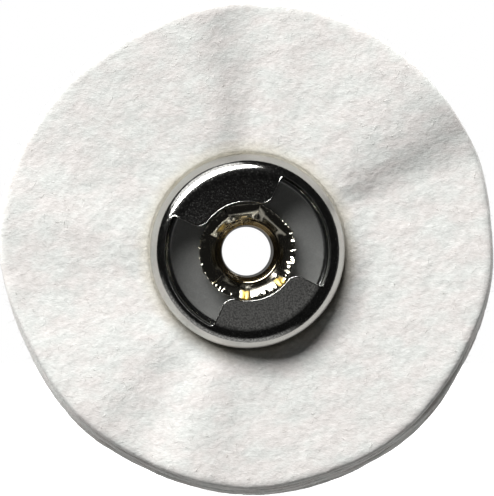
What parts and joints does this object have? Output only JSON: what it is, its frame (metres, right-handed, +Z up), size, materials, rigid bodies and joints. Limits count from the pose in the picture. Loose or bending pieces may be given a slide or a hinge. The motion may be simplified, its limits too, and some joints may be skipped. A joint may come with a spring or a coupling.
{
  "type": "felt polishing wheel",
  "caption": "Stacked felt polishing wheel on a crimped metal hub with a bow-tie quick-change opening and a flared eyelet through its centre.",
  "frame": {"origin": "on the spin axis, half way between the hub cap's front face and the eyelet's back face; this is also the centre of the bounding box", "axes": "the wheel spins about Y; the hub cap faces -Y, towards the tool's collar, and the back washer faces +Y; +Z is up and +X is to the right when the hub is seen from the front"},
  "size_m": [0.0254, 0.0058, 0.0254],
  "materials": {
    "white_felt": "soft needled felt, matt and slightly fuzzy",
    "bright_chrome": "bright plate over drawn steel, with fine scratches",
    "satin_nickel": "dull nickel plate",
    "pale_brass": "polished, plated pale brass"
  },
  "bodies": {
    "root": {"felt_ply_1": "white_felt", "felt_ply_2": "white_felt", "felt_ply_3": "white_felt", "felt_ply_4": "white_felt", "felt_ply_5": "white_felt", "felt_ply_6": "white_felt", "felt_ply_7": "white_felt", "felt_ply_8": "white_felt", "hub_cap": "bright_chrome", "base_cup": "satin_nickel", "eyelet": "pale_brass", "back_washer": "satin_nickel"}
  },
  "joints": []
}
